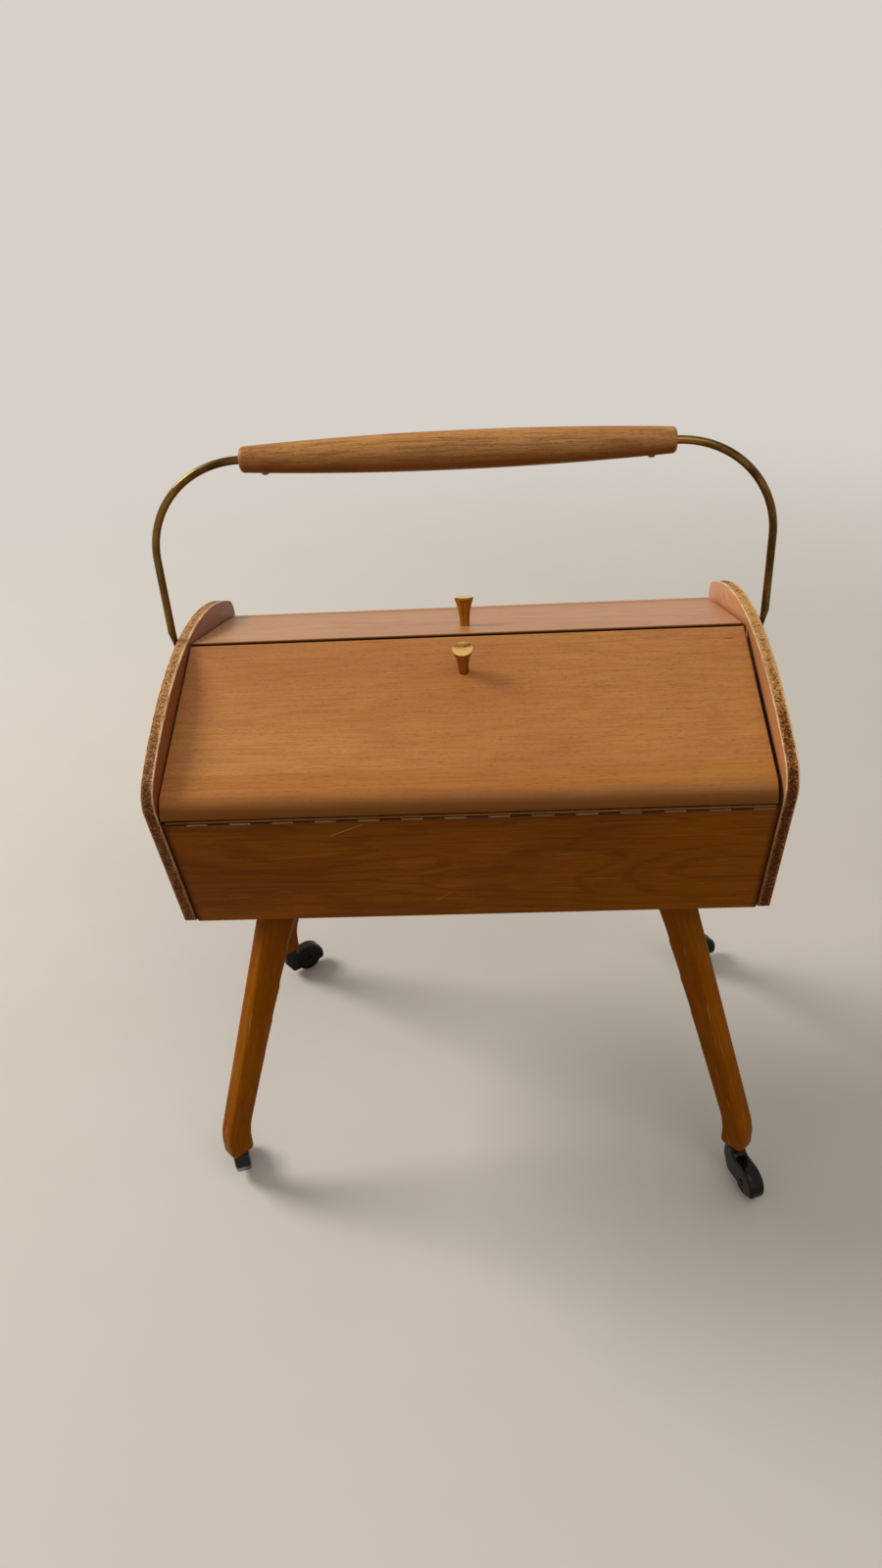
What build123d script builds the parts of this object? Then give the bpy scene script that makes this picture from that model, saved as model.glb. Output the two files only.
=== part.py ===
"""Sewing box: a low wooden chest on four splayed legs with casters.

Two sloping lids meet at a ridge between raised end panels and open outwards on piano
hinges. A bent rod handle with a turned grip swings over the box.
Frame: +X to the right seen from the front, the front faces -Y, +Z up. The origin is on
the floor, under the middle of the box. Millimetres.
"""
from build123d import *
from math import acos, atan2, cos, degrees, radians, sin, sqrt, tan
import os

os.makedirs("parts", exist_ok=True)

# Chest: end panels, boards and bottom
chest_bottom_z = 288.0        # underside of the chest above the floor
chest_base_depth = 247.0      # front to back at the underside
side_lean = 15.6              # degrees that the front and back lean outwards
chest_inner_length = 430.0    # between the two end panels
end_panel_thickness = 9.0
end_panel_corner_rise = 23.5  # from the hinges up to where leaning and domed edges would meet
end_panel_dome_rise = 4.6     # top of the dome above the lids' ridge
end_panel_corner_radius = 20.0
end_panel_foot_radius = 3.0
panel_edge_radius = 0.8       # worn arris on both faces
board_height = 116.0          # from the underside up to the hinges' pins
board_thickness = 9.0
board_end_chamfer = 2.0       # makes a groove where a board meets an end panel
board_recess = 0.5            # boards stand this far inside the panels' edges
bottom_thickness = 8.0

# Lids
lid_slope = 17.0              # degrees
lid_thickness = 8.0
lid_end_gap = 2.0             # to each end panel, but for the shift
lid_shift = 1.0               # lids sit this far left of the middle
seam_gap = 5.0                # between the two lids along the ridge
nosing_depth = 26.3           # level, from its face back to the glue line
nosing_height = 13.8          # from the pins up to where the lid's plane would meet its face
nosing_radius = 16.0          # rounded lower edge of a lid
nosing_width = 15.0           # flat underside that carries the hinge
nosing_overhang = 0.9         # lip in front of the board's face, at the hinge's height
lid_edge_radius = 0.7

# Strips inside the end panels that the closed lids rest on
rest_half_length = 42.0
rest_depth = 15.0
rest_thickness = 12.0
rest_gap = 0.3

# Piano hinges
knuckle_radius = 1.8
hinge_pin_radius = 0.85
hinge_running_gap = 0.05
knuckle_stand_off = 0.15      # knuckle clear of the board's face
knuckle_pitch = 15.0
knuckle_end_gap = 0.25
knuckle_count = 28            # both leaves together, alternating
leaf_thickness = 0.8
leaf_width = 10.5             # from the pin to the leaf's inner edge
leaf_notch = 0.4              # a leaf's edge clear of the other leaf's knuckles

# Knobs
knob_from_ridge = 39.0        # measured level, from the ridge to the knob's foot
knob_height = 23.0
knob_foot_radius = 4.0
knob_waist_radius = 4.6
knob_waist_height = 10.0
knob_head_radius = 7.6
knob_rim = 1.4                # straight rim under the top
knob_dish = 0.8               # depth of the hollow in the top
knob_screw_radius = 2.0
knob_screw_depth = 9.0        # into the knob
screw_head_height = 2.2

# Handle
grip_half_length = 154.0
grip_rise = 156.6             # grip's axis above the pivots
grip_end_radius = 9.0
grip_middle_radius = 13.5
grip_edge_radius = 3.2
rod_radius = 3.0
rod_in_grip = 48.0            # length of rod inside each end of the grip
handle_pivot_drop = 13.6      # pivots below the lids' ridge
rod_face_gap = 0.4            # rod clear of the end panel's outer face
paddle_thickness = 2.4
paddle_width = 10.0
paddle_gap = 0.3              # paddle clear of the panel
paddle_height = 12.0          # from the pivot to where the flattening starts to taper
flatten_height = 24.0         # from the pivot to where the rod is round again
pivot_screw_radius = 2.0
pivot_running_gap = 0.06
pivot_screw_length = 17.0     # in the wood
pivot_head_radius = 4.2
grip_screw_inset = 17.0       # from each end of the grip
grip_screw_radius = 1.4
grip_screw_head_radius = 2.9
grip_screw_head_height = 1.6
grip_screw_seat = 0.3         # how far the heads are pulled into the barrel
grip_screw_head_gap = 0.1     # round a head

# Legs, each a bent board set on the diagonal
leg_inset_x = 60.0            # middle of a front leg's top inside the end panel
leg_inset_y = 45.5            # and inside the board's foot
rear_leg_inset_x = 66.0       # the rear legs stand further in
rear_leg_inset_y = 53.5
leg_splay_x = 61.5            # from the middle of the top out to the middle of the foot
leg_splay_y = 59.0
leg_foot_z = 39.0
leg_upright = 24.0            # length of the upright foot
leg_kink_radius = 60.0
leg_outer_top = 15.5          # from the centre line to the outer edge at the top
leg_inner_top = 19.0
leg_inner_mid_width = 27.2    # width of the leg halfway down
leg_foot_width = 22.4
leg_thickness = 18.0
leg_edge_radius = 4.0
leg_foot_chamfer = 1.2
leg_screw_radius = 2.25
leg_screw_head_radius = 4.5
leg_screw_spacing = 15.0
leg_screw_depth = 30.0        # into the leg

# Casters
wheel_radius = 14.5
wheel_width = 9.0
wheel_tread_radius = 2.0      # rounded shoulders of the tread
caster_trail = 22.0           # wheel's axle behind the swivel axis
hood_radius = 16.7
hood_width = 14.0
hood_skirt_z = 9.0            # lower edge of the hood's cheeks
hood_chin_z = 22.0            # where the front of the neck starts to slope back
hood_throat_z = 31.0          # where the back of the neck turns into the hood's crown
hood_throat_radius = 4.0
hood_chin_radius = 6.0
hood_toe_radius = 3.0
hood_edge_radius = 2.5
wheel_side_gap = 0.5
wheel_rim_gap = 0.8
neck_radius = 7.0
flange_radius = 8.0
flange_thickness = 1.4
swivel_gap = 0.3
stem_radius = 3.5             # in the leg
stem_length = 24.0
pintle_radius = 3.0           # in the hood
pintle_length = 13.0
axle_radius = 1.8
axle_running_gap = 0.05
axle_head_radius = 3.0
axle_head_height = 0.7
caster_heading = {            # direction each wheel trails in, degrees from +X
    "front_left": 107.0,
    "front_right": -68.0,
    "rear_left": 39.0,
    "rear_right": 28.0,
}

# Worked out from the sizes above
hinge_z = chest_bottom_z + board_height
end_panel_corner_z = hinge_z + end_panel_corner_rise
inner_x = chest_inner_length / 2
outer_x = inner_x + end_panel_thickness
lid_half_length = inner_x - lid_end_gap
lean = tan(radians(side_lean))
slope = tan(radians(lid_slope))
board_level_thickness = board_thickness / cos(radians(side_lean))
lid_upright_thickness = lid_thickness / cos(radians(lid_slope))
board_top_z = hinge_z - knuckle_radius
nosing_bottom_z = hinge_z + knuckle_radius


def panel_edge_y(z):
    """Half depth of an end panel on its leaning edge at height z."""
    return chest_base_depth / 2 + (z - chest_bottom_z) * lean


def board_face_y(z):
    """Half depth over the outer faces of the front and rear boards."""
    return panel_edge_y(z) - board_recess


hinge_y = board_face_y(hinge_z) + knuckle_radius + knuckle_stand_off
nosing_face_y = board_face_y(hinge_z) + nosing_overhang
nosing_start_y = nosing_face_y - nosing_depth
ridge_z = hinge_z + nosing_height + nosing_face_y * slope
end_panel_top_z = ridge_z + end_panel_dome_rise
handle_pivot_z = ridge_z - handle_pivot_drop
grip_z = handle_pivot_z + grip_rise
grip_screw_x = grip_half_length - grip_screw_inset
paddle_top_z = handle_pivot_z + paddle_height
flatten_start_z = handle_pivot_z + flatten_height


def lid_top_z(y):
    return ridge_z - abs(y) * slope


def lid_under_z(y):
    return lid_top_z(y) - lid_upright_thickness


rod_x = outer_x + rod_face_gap + rod_radius
rod_bend_radius = rod_x - grip_half_length


def grip_radius_at(x):
    """Radius of the barrel at a distance x from its middle."""
    swell = grip_middle_radius - grip_end_radius
    arc_radius = (grip_half_length**2 + swell**2) / (2 * swell)
    return grip_middle_radius - arc_radius + sqrt(arc_radius**2 - x**2)


def save(piece, name):
    """Label a finished piece and write it under its own name."""
    piece.label = name
    export_step(piece, f"parts/{name}.step")


# End panels: leaning edges, wide rounded corners and a gently domed top
for side, sign in (("left", -1), ("right", 1)):
    near_x = inner_x if sign > 0 else -outer_x
    with BuildPart() as end_panel:
        with BuildSketch(Plane.YZ.offset(near_x)) as panel_outline:
            corner_y = panel_edge_y(end_panel_corner_z)
            with BuildLine():
                Polyline(
                    (-corner_y, end_panel_corner_z),
                    (-chest_base_depth / 2, chest_bottom_z),
                    (chest_base_depth / 2, chest_bottom_z),
                    (corner_y, end_panel_corner_z),
                )
                ThreePointArc(
                    (corner_y, end_panel_corner_z),
                    (0, end_panel_top_z),
                    (-corner_y, end_panel_corner_z),
                )
            make_face()
            corners = panel_outline.vertices().group_by(Axis.Y)
            fillet(corners[-1], radius=end_panel_corner_radius)
            fillet(panel_outline.vertices().group_by(Axis.Y)[0], radius=end_panel_foot_radius)
        extrude(amount=end_panel_thickness)
        fillet(end_panel.faces().filter_by(Axis.X).edges(), radius=panel_edge_radius)
        with Locations(Plane.YZ.offset(near_x)):
            with Locations((0, handle_pivot_z)):
                Cylinder(
                    pivot_screw_radius,
                    end_panel_thickness,
                    align=(Align.CENTER, Align.CENTER, Align.MIN),
                    mode=Mode.SUBTRACT,
                )
    save(end_panel.part, f"end_panel_{side}")

# Front and rear boards, leaning like the panels' edges
with BuildPart() as front_board:
    with BuildSketch(Plane.YZ.offset(-inner_x)):
        with BuildLine():
            Polyline(
                (-board_face_y(chest_bottom_z), chest_bottom_z),
                (-board_face_y(board_top_z), board_top_z),
                (-board_face_y(board_top_z) + board_level_thickness, board_top_z),
                (-board_face_y(chest_bottom_z) + board_level_thickness, chest_bottom_z),
                close=True,
            )
        make_face()
    extrude(amount=chest_inner_length)
    broad_faces = front_board.faces().sort_by(SortBy.AREA)[-2:]
    outer_face = broad_faces.sort_by(Axis.Y)[0]
    end_arrises = outer_face.edges().filter_by(Axis.X, reverse=True)
    chamfer(end_arrises, length=board_end_chamfer)
save(front_board.part, "front_board")

with BuildPart() as rear_board:
    add(front_board.part)
    mirror(about=Plane.XZ, mode=Mode.REPLACE)
save(rear_board.part, "rear_board")

# Where the legs stand and their screws go: two along each leg's diagonal
leg_signs = {
    "front_left": (-1, -1),
    "front_right": (1, -1),
    "rear_left": (-1, 1),
    "rear_right": (1, 1),
}
leg_reach = sqrt(leg_splay_x**2 + leg_splay_y**2)
leg_top = {}
leg_foot = {}
leg_turn = {}
for place, (sx, sy) in leg_signs.items():
    inset_x = leg_inset_x if sy < 0 else rear_leg_inset_x
    inset_y = leg_inset_y if sy < 0 else rear_leg_inset_y
    top_x = inner_x - inset_x
    top_y = chest_base_depth / 2 - inset_y
    leg_top[place] = (sx * top_x, sy * top_y)
    leg_foot[place] = (sx * (top_x + leg_splay_x), sy * (top_y + leg_splay_y))
    leg_turn[place] = degrees(atan2(sy * leg_splay_y, sx * leg_splay_x))
half_spacing = leg_screw_spacing / 2
leg_screw_places = [
    (
        leg_top[place][0] + step * half_spacing * cos(radians(leg_turn[place])),
        leg_top[place][1] + step * half_spacing * sin(radians(leg_turn[place])),
    )
    for place in leg_signs
    for step in (-1, 1)
]
floor_z = chest_bottom_z + bottom_thickness

# Bottom board, let in between the leaning boards
with BuildPart() as bottom_board:
    with BuildSketch(Plane.YZ.offset(-inner_x)):
        low_y = board_face_y(chest_bottom_z) - board_level_thickness
        high_y = board_face_y(floor_z) - board_level_thickness
        with BuildLine():
            Polyline(
                (-low_y, chest_bottom_z),
                (low_y, chest_bottom_z),
                (high_y, floor_z),
                (-high_y, floor_z),
                close=True,
            )
        make_face()
    extrude(amount=chest_inner_length)
    with Locations(Plane.XY.offset(floor_z)):
        with Locations(*leg_screw_places):
            CounterSinkHole(
                radius=leg_screw_radius,
                counter_sink_radius=leg_screw_head_radius,
                depth=bottom_thickness,
                counter_sink_angle=90,
            )
save(bottom_board.part, "bottom_board")

# Roof-shaped strips that carry the closed lids and back up the handle's screws
for side, sign in (("left", -1), ("right", 1)):
    near_x = inner_x - rest_thickness if sign > 0 else -inner_x
    with BuildPart() as lid_rest:
        with BuildSketch(Plane.YZ.offset(near_x)):
            eave_z = lid_under_z(rest_half_length) - rest_gap
            with BuildLine():
                Polyline(
                    (-rest_half_length, eave_z - rest_depth),
                    (rest_half_length, eave_z - rest_depth),
                    (rest_half_length, eave_z),
                    (0, lid_under_z(0) - rest_gap),
                    (-rest_half_length, eave_z),
                    close=True,
                )
            make_face()
        extrude(amount=rest_thickness)
        screw_in_rest = pivot_screw_length - end_panel_thickness
        screw_end_x = inner_x - screw_in_rest if sign > 0 else -inner_x
        with Locations(Plane.YZ.offset(screw_end_x)):
            with Locations((0, handle_pivot_z)):
                Cylinder(
                    pivot_screw_radius,
                    screw_in_rest,
                    align=(Align.CENTER, Align.CENTER, Align.MIN),
                    mode=Mode.SUBTRACT,
                )
    save(lid_rest.part, f"lid_rest_{side}")

# Lid panels: veneered boards with an upright cut along the ridge
lid_normal = (0, -sin(radians(lid_slope)), cos(radians(lid_slope)))
knob_foot = (-lid_shift, -knob_from_ridge, lid_top_z(knob_from_ridge))
knob_plane = Plane(origin=knob_foot, x_dir=(1, 0, 0), z_dir=lid_normal)
with BuildPart() as front_lid_panel:
    with BuildSketch(Plane.YZ.offset(-lid_half_length - lid_shift)):
        with BuildLine():
            Polyline(
                (-seam_gap / 2, lid_top_z(seam_gap / 2)),
                (-nosing_start_y, lid_top_z(nosing_start_y)),
                (-nosing_start_y, lid_under_z(nosing_start_y)),
                (-seam_gap / 2, lid_under_z(seam_gap / 2)),
                close=True,
            )
        make_face()
    extrude(amount=2 * lid_half_length)
    lid_face = front_lid_panel.faces().sort_by(Axis.Z)[-1]
    lid_arris = lid_face.edges().sort_by(Axis.Y)[1:]
    fillet(lid_arris, radius=lid_edge_radius)
    with Locations(knob_plane):
        Cylinder(
            knob_screw_radius,
            lid_thickness,
            align=(Align.CENTER, Align.CENTER, Align.MAX),
            mode=Mode.SUBTRACT,
        )
save(front_lid_panel.part, "front_lid_panel")

# Nosing: the solid lower edge of a lid, rounded over into a lip above the hinge
with BuildPart() as front_lid_nosing:
    with BuildSketch(Plane.YZ.offset(-lid_half_length - lid_shift)) as nosing_outline:
        back_y = nosing_face_y - nosing_width
        with BuildLine():
            Polyline(
                (-nosing_start_y, lid_top_z(nosing_start_y)),
                (-nosing_face_y, lid_top_z(nosing_face_y)),
                (-nosing_face_y, nosing_bottom_z),
                (-back_y, nosing_bottom_z),
                (-back_y, lid_under_z(back_y)),
                (-nosing_start_y, lid_under_z(nosing_start_y)),
                close=True,
            )
        make_face()
        shoulder = nosing_outline.vertices().sort_by(Axis.X)[:2].sort_by(Axis.Y)[-1]
        fillet(shoulder, radius=nosing_radius)
    extrude(amount=2 * lid_half_length)
    nosing_ends = front_lid_nosing.faces().filter_by(Axis.X).edges()
    rounded_edges = nosing_ends.filter_by(
        lambda e: (e @ 0.5).Z > lid_top_z((e @ 0.5).Y) - 2 * lid_thickness
        and (e @ 0.5).Z > lid_under_z((e @ 0.5).Y) + lid_thickness / 2
        and e.length > lid_thickness + 1
    )
    fillet(rounded_edges, radius=lid_edge_radius)
save(front_lid_nosing.part, "front_lid_nosing")

for name, piece in (("rear_lid_panel", front_lid_panel), ("rear_lid_nosing", front_lid_nosing)):
    with BuildPart() as rear_piece:
        add(piece.part)
        mirror(about=Plane.XZ, mode=Mode.REPLACE)
    save(rear_piece.part, name)

# Piano hinges: each leaf is a thin strip whose every second knuckle is rolled round the pin
hinge_length = knuckle_count * knuckle_pitch
knuckle_length = knuckle_pitch - knuckle_end_gap
knuckle_starts = [
    -hinge_length / 2 + knuckle_end_gap / 2 + index * knuckle_pitch for index in range(knuckle_count)
]
for owner, level, first in (("board", -1, 0), ("lid", 1, 1)):
    starts = knuckle_starts[first::2]
    with BuildPart() as leaf:
        strip_low_z = hinge_z + level * knuckle_radius - (leaf_thickness if level > 0 else 0)
        with BuildSketch(Plane.YZ.offset(-hinge_length / 2)):
            with Locations((-hinge_y + knuckle_radius + leaf_notch, strip_low_z)):
                Rectangle(
                    leaf_width - knuckle_radius - leaf_notch,
                    leaf_thickness,
                    align=(Align.MIN, Align.MIN),
                )
        extrude(amount=hinge_length)
        with BuildSketch(*[Plane.YZ.offset(x) for x in starts]):
            with Locations((-hinge_y, hinge_z)):
                Circle(knuckle_radius)
            with Locations((-hinge_y, strip_low_z)):
                Rectangle(leaf_width / 2, leaf_thickness, align=(Align.MIN, Align.MIN))
        extrude(amount=knuckle_length)
        with BuildSketch(Plane.YZ.offset(-hinge_length / 2)):
            with Locations((-hinge_y, hinge_z)):
                Circle(hinge_pin_radius + hinge_running_gap)
        extrude(amount=hinge_length, mode=Mode.SUBTRACT)
    save(leaf.part, f"front_hinge_{owner}_leaf")
    with BuildPart() as rear_leaf:
        add(leaf.part)
        mirror(about=Plane.XZ, mode=Mode.REPLACE)
    save(rear_leaf.part, f"rear_hinge_{owner}_leaf")

for place, sign in (("front", -1), ("rear", 1)):
    with BuildPart() as hinge_pin:
        with BuildSketch(Plane.YZ.offset(-hinge_length / 2)):
            with Locations((sign * hinge_y, hinge_z)):
                Circle(hinge_pin_radius)
        extrude(amount=hinge_length)
    save(hinge_pin.part, f"{place}_hinge_pin")

# Knobs: turned trumpets with a waist, a rim and a dished top, each held by a screw from below
knob_section = Plane(origin=knob_plane.origin, x_dir=knob_plane.x_dir, z_dir=-knob_plane.y_dir)
with BuildPart() as front_knob:
    with BuildSketch(knob_section):
        with BuildLine():
            foot = Line((0, 0), (knob_foot_radius, 0))
            flare = ThreePointArc(
                foot @ 1,
                (knob_waist_radius, knob_waist_height),
                (knob_head_radius, knob_height - knob_rim),
            )
            rim = Line(flare @ 1, (knob_head_radius, knob_height))
            dish = TangentArc((0, knob_height - knob_dish), rim @ 1, tangent=(1, 0))
            Line(dish @ 0, foot @ 0)
        make_face()
    revolve(axis=Axis(knob_plane.origin, knob_plane.z_dir))
    with Locations(knob_plane):
        Cylinder(
            knob_screw_radius,
            knob_screw_depth,
            align=(Align.CENTER, Align.CENTER, Align.MIN),
            mode=Mode.SUBTRACT,
        )
save(front_knob.part, "front_knob")

with BuildPart() as front_knob_screw:
    with Locations(knob_plane.offset(knob_screw_depth)):
        Cylinder(
            knob_screw_radius,
            knob_screw_depth + lid_thickness,
            align=(Align.CENTER, Align.CENTER, Align.MAX),
        )
    with Locations(knob_plane.offset(-lid_thickness)):
        Cylinder(
            2 * knob_screw_radius,
            screw_head_height,
            align=(Align.CENTER, Align.CENTER, Align.MAX),
        )
    head_rim = front_knob_screw.edges().filter_by(GeomType.CIRCLE).sort_by(Axis.Z)[0]
    fillet(head_rim, radius=screw_head_height / 3)
save(front_knob_screw.part, "front_knob_screw")

for name, piece in (("rear_knob", front_knob), ("rear_knob_screw", front_knob_screw)):
    with BuildPart() as rear_piece:
        add(piece.part)
        mirror(about=Plane.XZ, mode=Mode.REPLACE)
    save(rear_piece.part, name)

# Handle grip: a turned barrel, bored at both ends for the rods
seat_z = grip_z - grip_radius_at(grip_screw_x) + grip_screw_seat
with BuildPart() as handle_grip:
    with BuildSketch(Plane.XZ) as grip_section:
        with BuildLine():
            top = ThreePointArc(
                (-grip_half_length, grip_z + grip_end_radius),
                (0, grip_z + grip_middle_radius),
                (grip_half_length, grip_z + grip_end_radius),
            )
            Polyline(
                top @ 1,
                (grip_half_length, grip_z),
                (-grip_half_length, grip_z),
                top @ 0,
            )
        make_face()
    revolve(axis=Axis((0, 0, grip_z), (1, 0, 0)))
    fillet(handle_grip.edges().filter_by(GeomType.CIRCLE), radius=grip_edge_radius)
    for near_x in (-grip_half_length, grip_half_length - rod_in_grip):
        with BuildSketch(Plane.YZ.offset(near_x)):
            with Locations((0, grip_z)):
                Circle(rod_radius)
        extrude(amount=rod_in_grip, mode=Mode.SUBTRACT)
    with Locations((-grip_screw_x, 0, grip_z), (grip_screw_x, 0, grip_z)):
        Cylinder(
            grip_screw_radius,
            2 * grip_end_radius,
            align=(Align.CENTER, Align.CENTER, Align.MAX),
            mode=Mode.SUBTRACT,
        )
    with Locations((-grip_screw_x, 0, seat_z), (grip_screw_x, 0, seat_z)):
        Cylinder(
            grip_screw_head_radius + grip_screw_head_gap,
            grip_screw_head_height,
            align=(Align.CENTER, Align.CENTER, Align.MAX),
            mode=Mode.SUBTRACT,
        )
save(handle_grip.part, "handle_grip")

# Round-headed screws under the grip that clamp the rods
with BuildPart() as grip_screws:
    shank_length = grip_z - rod_radius - seat_z
    with Locations((-grip_screw_x, 0, seat_z), (grip_screw_x, 0, seat_z)):
        Cylinder(
            grip_screw_radius, shank_length, align=(Align.CENTER, Align.CENTER, Align.MIN)
        )
        Cylinder(
            grip_screw_head_radius,
            grip_screw_head_height,
            align=(Align.CENTER, Align.CENTER, Align.MAX),
        )
    fillet(
        grip_screws.edges().filter_by(GeomType.CIRCLE).group_by(Axis.Z)[0],
        radius=grip_screw_head_height * 0.8,
    )
save(grip_screws.part, "grip_screws")

# Handle rods: out of the grip, round a quarter bend, straight down and flattened at the end
paddle_x = outer_x + paddle_gap + paddle_thickness / 2
with BuildPart() as handle_rod_right:
    with BuildLine(Plane.XZ) as rod_path:
        level = Line((grip_half_length - rod_in_grip, grip_z), (grip_half_length, grip_z))
        bend = TangentArc(
            level @ 1, (rod_x, grip_z - rod_bend_radius), tangent=level % 1
        )
        Line(bend @ 1, (rod_x, flatten_start_z))
    with BuildSketch(Plane(origin=rod_path.line @ 0, z_dir=rod_path.line % 0)):
        Circle(rod_radius)
    sweep()
    with BuildSketch(Plane.XY.offset(flatten_start_z)):
        with Locations((rod_x, 0)):
            Circle(rod_radius)
    with BuildSketch(Plane.XY.offset(paddle_top_z)):
        with Locations((paddle_x, 0)):
            Ellipse(paddle_thickness / 2, paddle_width / 2)
    loft()
    with BuildSketch(Plane.YZ.offset(outer_x + paddle_gap)):
        with Locations((0, handle_pivot_z)):
            Circle(paddle_width / 2)
            Rectangle(
                paddle_width,
                paddle_top_z - handle_pivot_z,
                align=(Align.CENTER, Align.MIN),
            )
            Circle(pivot_screw_radius + pivot_running_gap, mode=Mode.SUBTRACT)
    extrude(amount=paddle_thickness)
save(handle_rod_right.part, "handle_rod_right")

with BuildPart() as handle_rod_left:
    add(handle_rod_right.part)
    mirror(about=Plane.YZ, mode=Mode.REPLACE)
save(handle_rod_left.part, "handle_rod_left")

# Screws that the handle swings on, driven through the panels into the strips behind
with BuildPart() as handle_pivot_screws:
    head_x = outer_x + 2 * paddle_gap + paddle_thickness
    for sign in (-1, 1):
        with Locations(Plane.YZ.offset(sign * head_x)):
            with Locations((0, handle_pivot_z)):
                inward = Align.MAX if sign > 0 else Align.MIN
                outward = Align.MIN if sign > 0 else Align.MAX
                Cylinder(
                    pivot_screw_radius,
                    head_x - outer_x + pivot_screw_length,
                    align=(Align.CENTER, Align.CENTER, inward),
                )
                Cylinder(
                    pivot_head_radius,
                    screw_head_height,
                    align=(Align.CENTER, Align.CENTER, outward),
                )
    crowns = handle_pivot_screws.edges().filter_by(GeomType.CIRCLE).group_by(Axis.X)
    fillet(crowns[0] + crowns[-1], radius=screw_head_height * 0.7)
save(handle_pivot_screws.part, "handle_pivot_screws")

# Legs: bent boards on the diagonal, wider at the top, upright at the foot. The leg is built
# with its top on Z and reaching along +X, then turned to each corner
leg_half_foot = leg_foot_width / 2
leg_kink_z = leg_foot_z + leg_upright
leg_mid_z = (chest_bottom_z + leg_kink_z) / 2
leg_outer_mid = (leg_outer_top + leg_reach + leg_half_foot) / 2
with BuildPart() as leg:
    with BuildSketch(Plane.XZ) as leg_outline:
        with BuildLine():
            Polyline(
                (-leg_inner_top, chest_bottom_z),
                (leg_outer_top, chest_bottom_z),
                (leg_reach + leg_half_foot, leg_kink_z),
                (leg_reach + leg_half_foot, leg_foot_z),
                (leg_reach - leg_half_foot, leg_foot_z),
                (leg_reach - leg_half_foot, leg_kink_z),
            )
            ThreePointArc(
                (leg_reach - leg_half_foot, leg_kink_z),
                (leg_outer_mid - leg_inner_mid_width, leg_mid_z),
                (-leg_inner_top, chest_bottom_z),
            )
        make_face()
        kinks = leg_outline.vertices().filter_by_position(Axis.Y, leg_kink_z - 1, leg_kink_z + 1)
        fillet(kinks, radius=leg_kink_radius)
    extrude(amount=leg_thickness / 2, both=True)
    long_edges = leg.edges().filter_by(lambda e: abs((e @ 0).Z - (e @ 1).Z) > 1)
    fillet(long_edges, radius=leg_edge_radius)
    chamfer(leg.faces().sort_by(Axis.Z)[0].edges(), length=leg_foot_chamfer)
    with Locations((leg_reach, 0, leg_foot_z)):
        Cylinder(
            stem_radius,
            stem_length,
            align=(Align.CENTER, Align.CENTER, Align.MIN),
            mode=Mode.SUBTRACT,
        )
    with Locations((-half_spacing, 0, chest_bottom_z), (half_spacing, 0, chest_bottom_z)):
        Cylinder(
            leg_screw_radius,
            leg_screw_depth,
            align=(Align.CENTER, Align.CENTER, Align.MAX),
            mode=Mode.SUBTRACT,
        )

for place in leg_signs:
    corner = Pos(*leg_top[place]) * Rot(0, 0, leg_turn[place])
    save(corner * leg.part, f"leg_{place}")

# Countersunk screws through the bottom board into the legs
with BuildPart() as leg_screws:
    with Locations(*[(x, y, floor_z) for x, y in leg_screw_places]):
        Cylinder(
            leg_screw_radius,
            bottom_thickness + leg_screw_depth,
            align=(Align.CENTER, Align.CENTER, Align.MAX),
        )
        Cone(
            leg_screw_radius,
            leg_screw_head_radius,
            leg_screw_head_radius - leg_screw_radius,
            align=(Align.CENTER, Align.CENTER, Align.MAX),
        )
save(leg_screws.part, "leg_screws")

# Casters: a stem fixed in the leg, a hooded fork that swivels on it, an axle and a wheel.
# Each piece is built with its swivel axis on Z and trailing along +X, then set under its leg
hood_top_z = leg_foot_z - flange_thickness - swivel_gap
hood_back_x = caster_trail + sqrt(hood_radius**2 - (wheel_radius - hood_skirt_z) ** 2)
hub = Vector(caster_trail, wheel_radius)
throat = Vector(neck_radius, hood_throat_z)
to_throat = throat - hub
crown_angle = atan2(to_throat.Y, to_throat.X) - acos(hood_radius / to_throat.length)
crown = hub + hood_radius * Vector(cos(crown_angle), sin(crown_angle))

with BuildPart() as caster_stem:
    with Locations((0, 0, leg_foot_z)):
        Cylinder(stem_radius, stem_length, align=(Align.CENTER, Align.CENTER, Align.MIN))
        Cylinder(flange_radius, flange_thickness, align=(Align.CENTER, Align.CENTER, Align.MAX))
    with Locations((0, 0, leg_foot_z - flange_thickness)):
        Cylinder(pintle_radius, pintle_length, align=(Align.CENTER, Align.CENTER, Align.MAX))

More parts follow.
